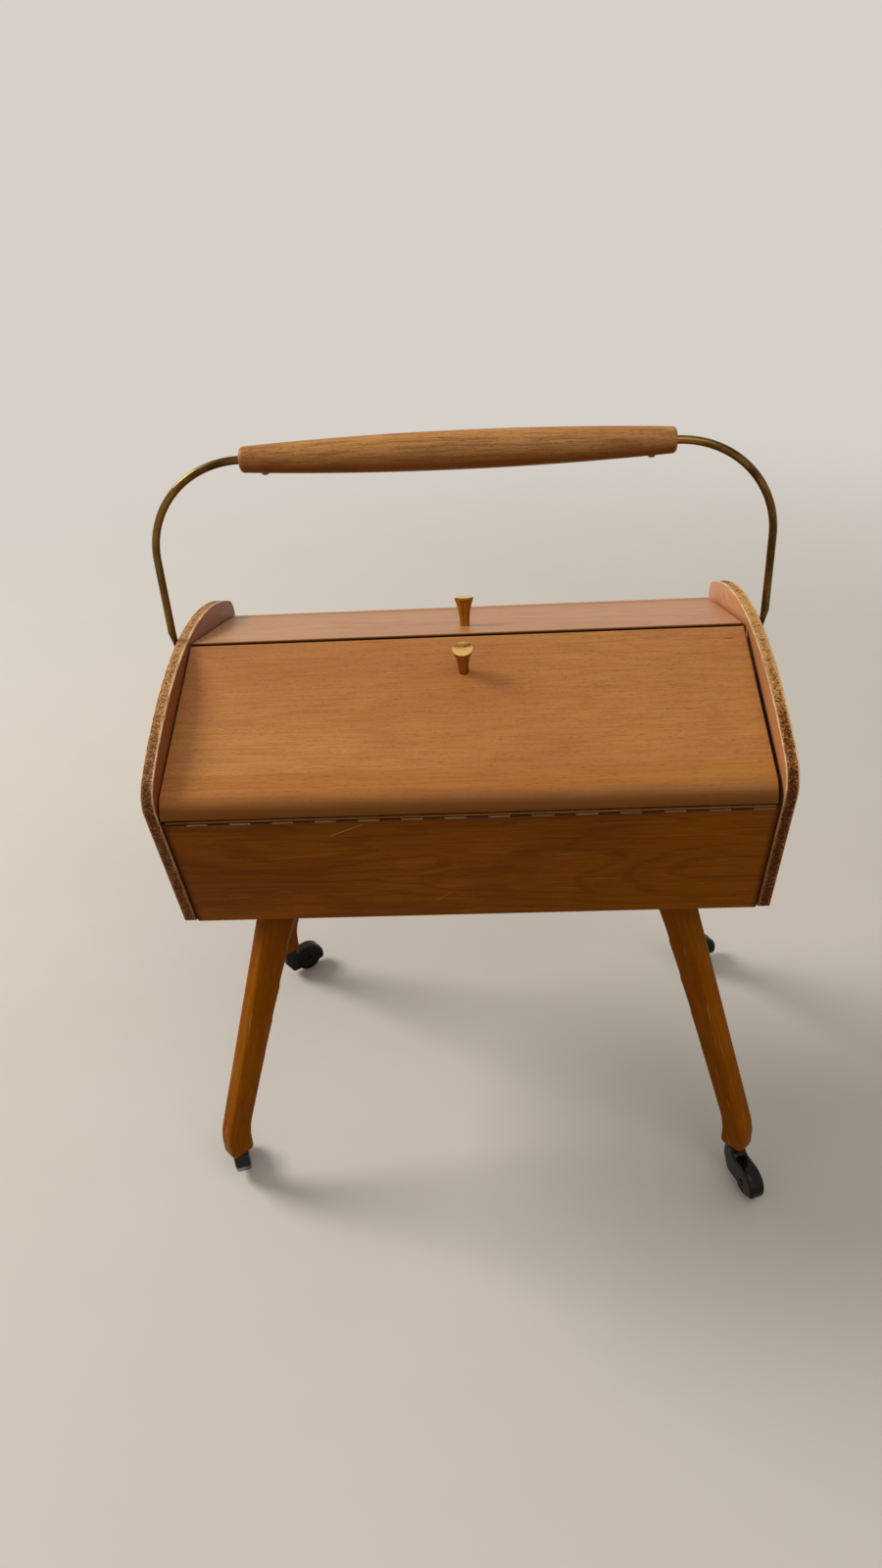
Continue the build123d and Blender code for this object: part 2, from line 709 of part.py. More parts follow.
with BuildPart() as caster_hood:
    with BuildSketch(Plane.XZ) as hood_outline:
        with BuildLine():
            Polyline(
                (hood_back_x, hood_skirt_z),
                (0, hood_skirt_z),
                (-neck_radius, hood_chin_z),
                (-neck_radius, hood_top_z),
                (neck_radius, hood_top_z),
                (throat.X, throat.Y),
                (crown.X, crown.Y),
            )
            ThreePointArc(
                (crown.X, crown.Y),
                (caster_trail + hood_radius, wheel_radius),
                (hood_back_x, hood_skirt_z),
            )
        make_face()
        corners = hood_outline.vertices()
        fillet(corners.sort_by_distance(throat)[0], radius=hood_throat_radius)
        fillet(corners.sort_by_distance((-neck_radius, hood_chin_z))[0], radius=hood_chin_radius)
        fillet(corners.sort_by_distance((0, hood_skirt_z))[0], radius=hood_toe_radius)
    extrude(amount=hood_width / 2, both=True)
    cheeks = caster_hood.faces().sort_by(Axis.Y)
    cheek_edges = (cheeks[0].edges() + cheeks[-1].edges()).filter_by(
        lambda e: hood_skirt_z < (e @ 0.5).Z < hood_top_z
    )
    fillet(cheek_edges, radius=hood_edge_radius)
    with BuildSketch(Plane.XZ):
        with Locations(hub):
            Circle(wheel_radius + wheel_rim_gap)
    extrude(amount=wheel_width / 2 + wheel_side_gap, both=True, mode=Mode.SUBTRACT)
    with BuildSketch(Plane.XZ):
        with Locations(hub):
            Circle(axle_radius)
    extrude(amount=hood_width, both=True, mode=Mode.SUBTRACT)
    with Locations((0, 0, leg_foot_z)):
        Cylinder(
            pintle_radius + axle_running_gap,
            flange_thickness + pintle_length + swivel_gap,
            align=(Align.CENTER, Align.CENTER, Align.MAX),
            mode=Mode.SUBTRACT,
        )

with BuildPart() as caster_axle:
    with BuildSketch(Plane.XZ):
        with Locations(hub):
            Circle(axle_radius)
    extrude(amount=hood_width / 2, both=True)
    with BuildSketch(Plane.XZ.offset(hood_width / 2)):
        with Locations(hub):
            Circle(axle_head_radius)
    extrude(amount=axle_head_height)
    mirror(about=Plane.XZ)

with BuildPart() as caster_wheel:
    with BuildSketch(Plane.XZ):
        with Locations(hub):
            Circle(wheel_radius)
    extrude(amount=wheel_width / 2, both=True)
    fillet(caster_wheel.edges().filter_by(GeomType.CIRCLE), radius=wheel_tread_radius)
    with BuildSketch(Plane.XZ):
        with Locations(hub):
            Circle(axle_radius + axle_running_gap)
    extrude(amount=wheel_width, both=True, mode=Mode.SUBTRACT)

for place in leg_signs:
    under_leg = Pos(*leg_foot[place]) * Rot(0, 0, caster_heading[place])
    save(under_leg * caster_stem.part, f"caster_stem_{place}")
    save(under_leg * caster_hood.part, f"caster_hood_{place}")
    save(under_leg * caster_axle.part, f"caster_axle_{place}")
    save(under_leg * caster_wheel.part, f"caster_wheel_{place}")
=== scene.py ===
# %% [markdown]
# # A sewing box on casters
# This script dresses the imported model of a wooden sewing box: a chest with two sloping lids on
# piano hinges, a swinging handle, four splayed legs and hooded casters. The model already has
# the true shapes, so most pieces keep their solid and get a finish. Worn edges, slotted screws
# and other small work are made here. Everything is in metres, with the floor at height zero.

import bmesh
import bpy
from math import cos, pi, sin
from mathutils import Matrix, Vector, noise
import numpy as np


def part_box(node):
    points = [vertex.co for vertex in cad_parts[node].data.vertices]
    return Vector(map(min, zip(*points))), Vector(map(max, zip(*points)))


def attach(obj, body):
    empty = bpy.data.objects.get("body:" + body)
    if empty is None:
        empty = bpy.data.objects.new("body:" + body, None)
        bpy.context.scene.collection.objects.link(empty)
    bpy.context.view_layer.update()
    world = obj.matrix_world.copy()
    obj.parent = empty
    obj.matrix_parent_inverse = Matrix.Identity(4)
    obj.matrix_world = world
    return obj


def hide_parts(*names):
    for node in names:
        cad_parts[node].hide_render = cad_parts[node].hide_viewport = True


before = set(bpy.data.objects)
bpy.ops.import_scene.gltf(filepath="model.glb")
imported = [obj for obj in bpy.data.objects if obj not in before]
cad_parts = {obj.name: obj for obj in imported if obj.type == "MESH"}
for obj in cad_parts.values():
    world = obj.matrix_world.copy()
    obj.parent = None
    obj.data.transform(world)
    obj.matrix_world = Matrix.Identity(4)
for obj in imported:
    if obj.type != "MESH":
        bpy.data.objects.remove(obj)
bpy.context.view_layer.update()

# %% [markdown]
# The camera stands where the picture was taken from: in front of the box and above it, a little
# to the right, and looking down by 33 degrees. The three angles are turned into a rotation
# matrix, because the picture leans a little to one side and that is easy to get wrong by hand.

# %% Camera
PICTURE_HEIGHT = 1600      # pixels
FOCAL_PIXELS = 1191.814
SENSOR = 36.0              # millimetres
CAMERA_PLACE = (0.026620, -0.816871, 0.863235)
yaw, pitch, roll = -0.0646095, 0.5794773, -0.0664087      # radians

ahead = Vector((sin(yaw) * cos(pitch), cos(yaw) * cos(pitch), -sin(pitch)))
level_right = Vector((cos(yaw), -sin(yaw), 0))
level_up = level_right.cross(ahead)
right = cos(roll) * level_right + sin(roll) * level_up
up = -sin(roll) * level_right + cos(roll) * level_up

lens = bpy.data.cameras.new("camera")
lens.sensor_fit = "VERTICAL"
lens.sensor_height = SENSOR
lens.sensor_width = SENSOR
lens.lens = FOCAL_PIXELS * SENSOR / PICTURE_HEIGHT
lens.clip_start = 0.05
camera = bpy.data.objects.new("camera", lens)
turned = Matrix((right, up, -ahead)).transposed().to_4x4()
camera.matrix_world = Matrix.Translation(CAMERA_PLACE) @ turned
bpy.context.scene.collection.objects.link(camera)
bpy.context.scene.camera = camera
bpy.context.scene.view_settings.view_transform = "Standard"
print("lens", round(lens.lens, 2), "mm")

# %% [markdown]
# A finish is a tree of nodes. These helpers keep the trees short: one adds a node and fills its
# inputs, the others are the few kinds of node that nearly every finish needs. A value that is
# the same all over a surface is set on the shader itself.

# %% Node helpers
def put(tree, kind, values=None, **settings):
    """Add a node; values fill its inputs, either with numbers or with another node's output."""
    node = tree.nodes.new(kind)
    for key, value in settings.items():
        setattr(node, key, value)
    for key, value in (values or {}).items():
        if isinstance(value, bpy.types.NodeSocket):
            tree.links.new(value, node.inputs[key])
        else:
            node.inputs[key].default_value = value
    return node


def maths(tree, operation, *terms, clamp=False):
    """The output of one Math node."""
    values = dict(enumerate(terms))
    return put(tree, "ShaderNodeMath", values, operation=operation, use_clamp=clamp).outputs[0]


def blend_colour(tree, share, first, second):
    """A colour between two others."""
    values = {0: share, 6: first, 7: second}
    return put(tree, "ShaderNodeMix", values, data_type="RGBA").outputs[2]


def between(tree, value, low, high, start=0.0, end=1.0):
    """Map a value from low..high to start..end, smoothly and without going past the ends."""
    values = {0: value, 1: low, 2: high, 3: start, 4: end}
    node = put(tree, "ShaderNodeMapRange", values, interpolation_type="SMOOTHSTEP")
    return node.outputs[0]


def object_place(tree):
    """Where a point of the surface is, in metres, before its body moves."""
    return put(tree, "ShaderNodeTexCoord").outputs["Object"]


def parts_of(tree, vector):
    """The X, Y and Z of a vector."""
    return put(tree, "ShaderNodeSeparateXYZ", {0: vector}).outputs


def cloud(tree, where, scale, detail, roughness, distortion=0.0, stretch=None):
    """Noise, from 0 to 1; stretch gives a separate scale to each axis."""
    if stretch:
        where = put(tree, "ShaderNodeMapping", {0: where, 3: stretch}).outputs[0]
    values = {"Vector": where, "Scale": scale, "Detail": detail,
              "Roughness": roughness, "Distortion": distortion}
    return put(tree, "ShaderNodeTexNoise", values).outputs[0]


def paint(red, green, blue):
    """A colour as it looks on a screen, from 0 to 255, turned into the shader's own numbers."""
    parts = [c / 255 for c in (red, green, blue)]
    light = [c / 12.92 if c < 0.04045 else ((c + 0.055) / 1.055) ** 2.4 for c in parts]
    return tuple(light) + (1.0,)


def new_finish(name, roughness, metal=0.0):
    """A named material, its tree and its shader."""
    finish = bpy.data.materials.new(name)
    finish.use_nodes = True
    tree = finish.node_tree
    shader = tree.nodes["Principled BSDF"]
    shader.inputs["Roughness"].default_value = roughness
    shader.inputs["Metallic"].default_value = metal
    return finish, tree, shader


def join(tree, value, shader, socket):
    """Feed one of the shader's inputs."""
    tree.links.new(value, shader.inputs[socket])


def relief(tree, height, shader, depth, strength=1.0):
    """Bump that is depth metres deep where height goes from 0 to 1."""
    values = {"Strength": strength, "Distance": depth, "Height": height}
    join(tree, put(tree, "ShaderNodeBump", values).outputs[0], shader, "Normal")


print("a middle grey on screen is", round(paint(128, 128, 128)[0], 3), "of full light")

# %% [markdown]
# Nearly all of the box is beech, sliced as veneer or solid. Real beech has three marks: slow
# bands of growth that look like the contour lines of a map on a sliced sheet, fine streaks along
# the grain, and thousands of short dark flecks. Each mark is noise stretched along the grain.
# Noise in three dimensions is used, so the marks run round corners as they do in real wood.

# %% Beech
# Scales of the marks: along the grain, and across it both ways.
RING_GRAIN = (3.2, 13.0, 13.0)
STREAK_GRAIN = (22.0, 520.0, 520.0)
FLECK_GRAIN = (260.0, 1700.0, 1700.0)
PATCH_GRAIN = (6.0, 10.0, 10.0)
SPOT_GRAIN = (38.0, 150.0, 150.0)
SCRAPE_GRAIN = (28.0, 620.0, 620.0)
RING_COUNT = 70.0
BARE_WOOD = paint(206, 150, 92)


def beech(name, ground, streak, blush, turn=(0, 0, 0), roughness=0.42, bands=0.22, flecks=0.35,
          streaks=0.40, coarse=1.0, seed=0.0, gloss=0.08, reflect=0.25, scratches=0.0):
    """Beech whose grain runs along X once turned; colours are as paint() gives them."""
    finish, tree, shader = new_finish(name, roughness)
    shift = (seed, seed / 3, seed / 7)
    grain = put(tree, "ShaderNodeMapping", {0: object_place(tree), 1: shift, 2: turn}).outputs[0]

    contour = cloud(tree, grain, 1.0, 3.0, 0.42, 0.5, RING_GRAIN)
    rings = maths(tree, "SINE", maths(tree, "MULTIPLY", contour, RING_COUNT))
    ring_lines = between(tree, rings, 0.45, 1.0)
    fine = cloud(tree, grain, 1.0, 4.0, 0.70, 0.2, [s / coarse for s in STREAK_GRAIN])
    fine_lines = between(tree, fine, 0.40, 0.66)
    fleck = cloud(tree, grain, 1.0, 2.0, 0.5, 0.0, [s / coarse for s in FLECK_GRAIN])
    fleck_marks = between(tree, fleck, 0.58, 0.70)
    patches = cloud(tree, grain, 1.0, 4.0, 0.55, 0.6, PATCH_GRAIN)
    spots = between(tree, cloud(tree, grain, 1.0, 1.0, 0.5, 0.0, SPOT_GRAIN), 0.76, 0.84)

    dark = tuple(0.3 * c for c in streak[:3]) + (1.0,)
    colour = blend_colour(tree, between(tree, patches, 0.36, 0.64), ground, blush)
    for mark, share, tint in ((fine_lines, streaks, streak), (ring_lines, bands, streak),
                              (fleck_marks, flecks, dark), (spots, 0.6, dark)):
        colour = blend_colour(tree, maths(tree, "MULTIPLY", mark, share), colour, tint)
    if scratches:
        scrape = cloud(tree, grain, 1.0, 2.0, 0.4, 0.3, SCRAPE_GRAIN)
        lines = between(tree, scrape, 0.68, 0.74, 0.0, scratches)
        colour = blend_colour(tree, lines, colour, BARE_WOOD)
    join(tree, colour, shader, "Base Color")
    sheen = between(tree, fine, 0.3, 0.7, roughness - 0.06, roughness + 0.10)
    join(tree, sheen, shader, "Roughness")
    shader.inputs["Coat Weight"].default_value = gloss
    shader.inputs["Coat Roughness"].default_value = 0.28
    shader.inputs["Specular IOR Level"].default_value = reflect
    grooves = maths(tree, "SUBTRACT", fine, maths(tree, "MULTIPLY", fleck_marks, 0.6))
    relief(tree, grooves, shader, 0.00005, 0.6)
    return finish, tree, shader, colour


lid_ground, lid_streak = paint(190, 130, 65), paint(150, 92, 38)
front_veneer = beech("lid_veneer", lid_ground, lid_streak, paint(183, 115, 60), bands=0.17,
                     streaks=0.42, flecks=0.5)
rear_veneer = beech("rear_lid_veneer", lid_ground, lid_streak, paint(186, 118, 70), bands=0.2,
                    streaks=0.45, seed=3.7, reflect=0.4, gloss=0.22)
nosing = beech("nosing_beech", paint(182, 121, 58), paint(146, 90, 34), paint(180, 114, 58),
               coarse=1.3, flecks=0.35, bands=0.08, seed=1.3, reflect=0.12)
grip = beech("grip_beech", paint(196, 138, 74), paint(126, 78, 32), paint(184, 122, 62),
             coarse=0.9, flecks=0.6, bands=0.05, streaks=0.65, seed=5.1, reflect=0.2)
plain_ply = beech("plain_ply", paint(190, 150, 104), paint(150, 108, 66), paint(182, 138, 94),
                  roughness=0.6, gloss=0.0, seed=8.2)[0]
print("beech finishes", len(bpy.data.materials))

# %% [markdown]
# The lids' sawn edges are stained dark, and their colour also carries painted shade for the shadow
# in the gap between the lids and at their ends; they show as a dark line along the ridge and at the
# lids' ends. A lid's edges are where its own place reaches the ridge or its end, so two distances,
# along Y and along X, pick them out. The very top of the edge is painted paler, a painted
# highlight.

# %% Stained and shaded lid edges
LID_SHIFT = 0.001      # the lids sit a little to the left of the middle
# Each pair says where a change begins and where it is complete, here and further on.
RIDGE_EDGE = (0.0031, 0.0026)
END_EDGE = (0.2124, 0.2129)
EDGE_HIGHLIGHT_TOP = (0.4630, 0.4638)
for finish, tree, shader, colour in (front_veneer, rear_veneer):
    parts = parts_of(tree, object_place(tree))
    from_ridge = maths(tree, "ABSOLUTE", parts[1])
    from_middle = maths(tree, "ABSOLUTE", maths(tree, "ADD", parts[0], LID_SHIFT))
    at_ridge = between(tree, from_ridge, *RIDGE_EDGE)
    at_end = between(tree, from_middle, *END_EDGE)
    edge = maths(tree, "MAXIMUM", at_ridge, at_end)
    # Painted highlight: the very top of the edge is painted paler.
    worn = between(tree, parts[2], *EDGE_HIGHLIGHT_TOP)
    # Stain and painted shade: the near-black also stands for the shadow in the gap.
    stain = blend_colour(tree, worn, paint(52, 27, 11), paint(138, 88, 38))
    join(tree, blend_colour(tree, edge, colour, stain), shader, "Base Color")
print("stained edges on both lids")

# %% [markdown]
# The nosing is the solid strip along a lid's lower edge. Its rounded lip turns down, away from the
# light, so its colour is painted darker from the top of the rounding downwards, as painted shade.
# The grip is painted darker in the same way on its lower side, as painted shade.

# %% Painted shade on lower sides
for shaded_wood, unshaded_above, dark_below, share, dark in (
        (nosing, 0.4225, 0.4105, 0.90, paint(118, 70, 20)),
        (grip, 0.6135, 0.6015, 0.75, paint(108, 60, 12))):
    finish, tree, shader, colour = shaded_wood
    height = parts_of(tree, object_place(tree))[2]
    # Painted shade: the colour darkens towards the underside.
    painted_lower_shade = between(tree, height, unshaded_above, dark_below, 0.0, share)
    join(tree, blend_colour(tree, painted_lower_shade, colour, dark), shader, "Base Color")
    print("handled side on", finish.name)

# %% [markdown]
# The front and rear boards carry the same veneer as the lids, painted darker and more orange; part
# of that is painted shade, since the boards face down and away from the light. Their last few
# millimetres are darker still: a dark stain in the groove beside each end panel, with painted shade
# for the shadow in that groove. The distance from the middle of the box, the absolute value of X,
# tells where that is. The front board also has a few long scratches: each is a thin band about a
# straight line, in X and Z.

# %% Board veneer
# Each scratch has its start and end as (x, z), its width and how strongly it shows.
SCRATCHES = [((-0.0994, 0.3840), (-0.0714, 0.3970), 0.0007, 0.6),
             ((-0.0290, 0.3060), (-0.0140, 0.3168), 0.0006, 0.4),
             ((-0.1500, 0.3600), (-0.0900, 0.3660), 0.0006, 0.2),
             ((0.0600, 0.3560), (0.1050, 0.3590), 0.0005, 0.2)]
SCRATCHED_WOOD = paint(222, 160, 92)
END_SHADE_AND_STAIN = (0.2085, 0.2135)
FRONT_ONLY = (-0.10, -0.11)

# Partly painted shade: this veneer is darker and more orange than the lids'.
board_veneer, tree, shader, colour = beech(
    "board_veneer", paint(166, 98, 8), paint(104, 54, 3), paint(146, 82, 6),
    bands=0.34, streaks=0.42, flecks=0.3, seed=2.2, gloss=0.0, reflect=0.06, scratches=0.25)
across = parts_of(tree, object_place(tree))
# Stain and painted shade at the board's ends, beside the end panels.
end_shade_and_stain = between(tree, maths(tree, "ABSOLUTE", across[0]), *END_SHADE_AND_STAIN)
colour = blend_colour(tree, maths(tree, "MULTIPLY", end_shade_and_stain, 0.75), colour, paint(58, 20, 4))


def scratch(start, end, width):
    """A mask for one straight scratch on the front board."""
    run, rise = end[0] - start[0], end[1] - start[1]
    level = maths(tree, "MULTIPLY_ADD", across[0], rise / run, start[1] - start[0] * rise / run)
    off = maths(tree, "ABSOLUTE", maths(tree, "SUBTRACT", across[2], level))
    near = between(tree, off, width, width * 0.4)
    from_centre = maths(tree, "SUBTRACT", across[0], (start[0] + end[0]) / 2)
    from_centre = maths(tree, "ABSOLUTE", from_centre)
    inside = between(tree, from_centre, abs(run) / 2, abs(run) * 0.35)
    in_front = between(tree, across[1], *FRONT_ONLY)
    return maths(tree, "MULTIPLY", maths(tree, "MULTIPLY", near, inside), in_front)


for start, end, width, strength in SCRATCHES:
    mask = maths(tree, "MULTIPLY", scratch(start, end, width), strength)
    colour = blend_colour(tree, mask, colour, SCRATCHED_WOOD)
join(tree, colour, shader, "Base Color")
print("scratches on the front board", len(SCRATCHES))

# %% [markdown]
# A leg's grain runs down the leg, and the four legs lean four ways, each outwards along its own
# diagonal. So each leg gets its own finish, turned until the pattern's X axis lies along the leg.

# %% Leg finishes
LEG_LEAN = 0.379       # sideways run for each metre of height, along the diagonal
SIDES = {"front_left": (-1, -1), "front_right": (1, -1), "rear_left": (-1, 1), "rear_right": (1, 1)}
leg_finish = {}
for place_name, (side_x, side_y) in SIDES.items():
    outward = Vector((side_x, side_y, 0)).normalized()
    along = (outward * LEG_LEAN - Vector((0, 0, 1))).normalized()
    broad = Vector((0, 0, 1)).cross(outward)
    turn = Matrix((along, broad, along.cross(broad))).to_euler()
    leg_finish[place_name] = beech(
        "leg_beech_" + place_name, paint(156, 88, 0), paint(112, 58, 0), paint(142, 76, 0),
        turn=turn, coarse=1.2, flecks=0.3, bands=0.12, streaks=0.4, scratches=0.4,
        seed=side_x * 1.7 + side_y * 0.6, gloss=0.0, reflect=0.05, roughness=0.34)[0]
print("leg finishes", sorted(leg_finish))

# %% [markdown]
# The end panels are veneered chipboard. Their flat faces have the veneer's grain level, along Y,
# and are redder than the lids. Each panel has a finish of its own: the right panel's inner face
# looks towards the window and is painted paler, as painted light, and the left panel's faces away
# and is painted darker, as painted shade. The core shows all along the worn edge: flakes of tan,
# brown and nearly black, with a pale line of bare veneer at each side that gets dirtier towards the
# bottom.

# %% End panel finishes
PANEL_MIDDLE = 0.2195          # X of the middle of a panel's thickness
VENEER_DIRT = (0.42, 0.32)     # heights between which the bare veneer gets dirty
CORE_HALF = (0.0036, 0.0012)   # distances from that middle between which the core gets darker
CORE_FALL = (0.471, 0.432)     # heights between which the core goes from pale to dark
along_y = (0, 0, pi / 2)
# Painted light and shade: the right panel's veneer is paler, the left panel's darker.
panel_finish = {
    "left": beech("panel_veneer_left", paint(152, 89, 44), paint(120, 64, 28),
                  paint(146, 82, 41), turn=along_y, seed=4.4, streaks=0.5, bands=0.25,
                  reflect=0.2)[0],
    "right": beech("panel_veneer_right", paint(212, 148, 94), paint(170, 106, 62),
                   paint(206, 138, 88), turn=along_y, seed=6.1, streaks=0.5, bands=0.25,
                   reflect=0.4, gloss=0.2)[0],
}

bare_veneer, tree, shader = new_finish("bare_veneer_edge", roughness=0.62)
place = object_place(tree)
worn_patches = between(tree, cloud(tree, place, 60.0, 4.0, 0.6), 0.35, 0.65)
fibres = cloud(tree, place, 900.0, 2.0, 0.6)
fibre_lines = between(tree, fibres, 0.55, 0.75, 0.0, 0.6)
dirt = between(tree, parts_of(tree, place)[2], *VENEER_DIRT, 0.0, 0.75)
colour = blend_colour(tree, worn_patches, paint(236, 198, 154), paint(200, 150, 104))
colour = blend_colour(tree, fibre_lines, colour, paint(126, 80, 46))
colour = blend_colour(tree, dirt, colour, paint(112, 62, 22))
join(tree, colour, shader, "Base Color")
relief(tree, fibres, shader, 0.0001)


def chipboard(name, tan, brown, dark, dark_above, dark_below):
    """Pressed flakes, darkest halfway through; two shares set how dark the two ends are."""
    finish, tree, shader = new_finish(name, roughness=0.72)
    place = object_place(tree)
    values = {"Vector": place, "Scale": 1100.0, "Randomness": 1.0}
    flakes = put(tree, "ShaderNodeTexVoronoi", values).outputs["Color"]
    flake_shade = put(tree, "ShaderNodeSeparateColor", {0: flakes}).outputs[0]
    stain = cloud(tree, place, 70.0, 5.0, 0.75)
    parts = parts_of(tree, place)
    from_box_middle = maths(tree, "ABSOLUTE", parts[0])
    off_middle = maths(tree, "ABSOLUTE", maths(tree, "SUBTRACT", from_box_middle, PANEL_MIDDLE))
    in_middle = between(tree, off_middle, *CORE_HALF, 0.0, 0.30)
    low_down = between(tree, parts[2], *CORE_FALL, dark_above, dark_below)
    specks = cloud(tree, place, 900.0, 4.0, 0.7)
    shade = maths(tree, "MULTIPLY", flake_shade, 0.55)
    for darker in (between(tree, stain, 0.35, 0.65, 0.0, 0.25), in_middle, low_down):
        shade = maths(tree, "ADD", shade, darker)
    colour = blend_colour(tree, between(tree, shade, 0.30, 1.05), tan, brown)
    pits = maths(tree, "ADD", specks, maths(tree, "MULTIPLY", shade, 0.22))
    colour = blend_colour(tree, between(tree, pits, 0.66, 0.76, 0.0, 0.85), colour, dark)
    pale_flakes = cloud(tree, place, 1300.0, 2.0, 0.6)
    colour = blend_colour(tree, between(tree, pale_flakes, 0.58, 0.68, 0.0, 0.42), colour, tan)
    join(tree, colour, shader, "Base Color")
    shader.inputs["Specular IOR Level"].default_value = 0.12
    relief(tree, specks, shader, 0.0003)
    return finish


core_left = chipboard("chipboard_core_left", paint(200, 150, 98), paint(130, 82, 40),
                      paint(66, 38, 18), dark_above=-0.08, dark_below=0.30)
core_right = chipboard("chipboard_core_right", paint(216, 166, 102), paint(126, 64, 8),
                       paint(42, 17, 0), dark_above=-0.12, dark_below=0.40)
print("panel finishes", sorted(panel_finish), core_left.name, core_right.name)

# %% [markdown]
# The metals are the aged brass of the rods, the polished brass of the knobs, dull nickel on the
# hinges, and steel. Age is a cloud of darker, rougher patches over the metal. On the handle's
# rods the patches are stretched along the rod.

# %% Metals
METAL_GRAIN = 1200.0


def metal(name, bright, dull, roughness, age, stretch=(60.0, 60.0, 60.0)):
    """A metal with dull patches; age is how far they go towards the dull colour."""
    finish, tree, shader = new_finish(name, roughness, metal=1.0)
    place = object_place(tree)
    patches = cloud(tree, place, 1.0, 4.0, 0.6, stretch=stretch)
    tarnish = between(tree, patches, 0.36, 0.66, 0.0, age)
    fine = cloud(tree, place, METAL_GRAIN, 3.0, 0.6)
    colour = blend_colour(tree, tarnish, bright, dull)
    join(tree, colour, shader, "Base Color")
    even_rough = between(tree, fine, 0.3, 0.7, roughness - 0.04, roughness + 0.08)
    rough = maths(tree, "ADD", maths(tree, "MULTIPLY", tarnish, 0.22), even_rough)
    join(tree, rough, shader, "Roughness")
    relief(tree, fine, shader, 0.00002, 0.5)
    return finish, tree, shader, colour


aged_brass = metal("aged_brass", paint(124, 96, 48), paint(44, 31, 13), roughness=0.15,
                   age=0.85, stretch=(30.0, 300.0, 30.0))[0]
screw_brass = metal("screw_brass", paint(130, 102, 56), paint(58, 42, 22), roughness=0.4,
                    age=0.8)[0]
steel = metal("plain_steel", paint(176, 172, 166), paint(110, 102, 94), roughness=0.34,
              age=0.5)[0]
dark_steel = metal("dark_steel", paint(52, 46, 40), paint(26, 22, 18), roughness=0.4,
                   age=0.6)[0]
print("metals", aged_brass.name, screw_brass.name, steel.name, dark_steel.name)

# %% [markdown]
# A knob's top is painted brighter than its sides, as a painted highlight where the light falls from
# above; the surface's own direction tells top from side. On a hinge, the knuckles carry painted
# shade: a dark line along them under the nosing's lip, with a brown band above it in the colour of
# the shaded nosing. The lid's leaf is painted brighter, as a painted highlight, and the board's
# leaf darker, as painted shade.

# %% Knob and hinge metals
knob_brass, tree, shader, colour = metal(
    "knob_brass", paint(164, 122, 44), paint(128, 88, 26), roughness=0.13, age=0.3,
    stretch=(90.0, 90.0, 90.0))
# Painted highlight: the upward-facing top of the knob is painted brighter.
facing_up = parts_of(tree, put(tree, "ShaderNodeTexCoord").outputs["Normal"])[2]
colour = blend_colour(tree, between(tree, facing_up, 0.55, 0.85), colour, paint(255, 212, 128))
join(tree, colour, shader, "Base Color")

# Painted shade: a dark line under the nosing's lip, then the nosing's shaded brown above it.
HINGE_SHADE_BANDS = ((0.4043, paint(34, 16, 6)), (0.4049, paint(98, 60, 26)))   # from each height up
BAND_BLUR = 0.0002
hinge_finish = {}
# Painted highlight on the lid's leaf and painted shade on the board's leaf.
for owner, bright, dull in (("lid", paint(138, 116, 94), paint(84, 68, 52)),
                            ("board", paint(62, 46, 32), paint(40, 28, 18))):
    finish, tree, shader, colour = metal(
        "hinge_nickel_" + owner, bright, dull, roughness=0.4, age=0.6,
        stretch=(40.0, 300.0, 300.0))
    height = parts_of(tree, object_place(tree))[2]
    for bottom, tint in HINGE_SHADE_BANDS:
        above = between(tree, height, bottom - BAND_BLUR, bottom + BAND_BLUR)
        colour = blend_colour(tree, above, colour, tint)
    join(tree, colour, shader, "Base Color")
    hinge_finish[owner] = finish
print("hinge finishes", sorted(hinge_finish))

# %% [markdown]
# The casters are hard black plastic that was once glossy. Dust and scuffs make it paler and
# rougher in places, and the moulded surface is very slightly uneven.

# %% Black plastic
def black_plastic(name, shine, reflect):
    """Plastic with dust and scuffs; shine is its roughness where it is clean."""
    finish, tree, shader = new_finish(name, shine)
    place = object_place(tree)
    dust = between(tree, cloud(tree, place, 90.0, 5.0, 0.7), 0.45, 0.75)
    scuffs = cloud(tree, place, 1.0, 3.0, 0.6, stretch=(300.0, 300.0, 900.0))
    scuffs = maths(tree, "MULTIPLY", between(tree, scuffs, 0.62, 0.72), 0.3)
    colour = blend_colour(tree, dust, paint(8, 6, 3), paint(20, 15, 10))
    join(tree, blend_colour(tree, scuffs, colour, paint(60, 52, 44)), shader, "Base Color")
    rough = maths(tree, "ADD", maths(tree, "MULTIPLY", dust, 0.2), shine)
    join(tree, rough, shader, "Roughness")
    shader.inputs["Specular IOR Level"].default_value = reflect
    relief(tree, cloud(tree, place, 260.0, 3.0, 0.5), shader, 0.00002)
    return finish


caster_black = black_plastic("caster_black", shine=0.11, reflect=0.22)
wheel_black = black_plastic("wheel_black", shine=0.42, reflect=0.12)
print("plastics", caster_black.name, wheel_black.name)

# %% [markdown]
# Most solids from the model only need their finish. A table from the start of a piece's name to
# its finish keeps that in one place, and the longest start that fits a name counts. Legs aren't
# in the table, since each has a finish of its own.

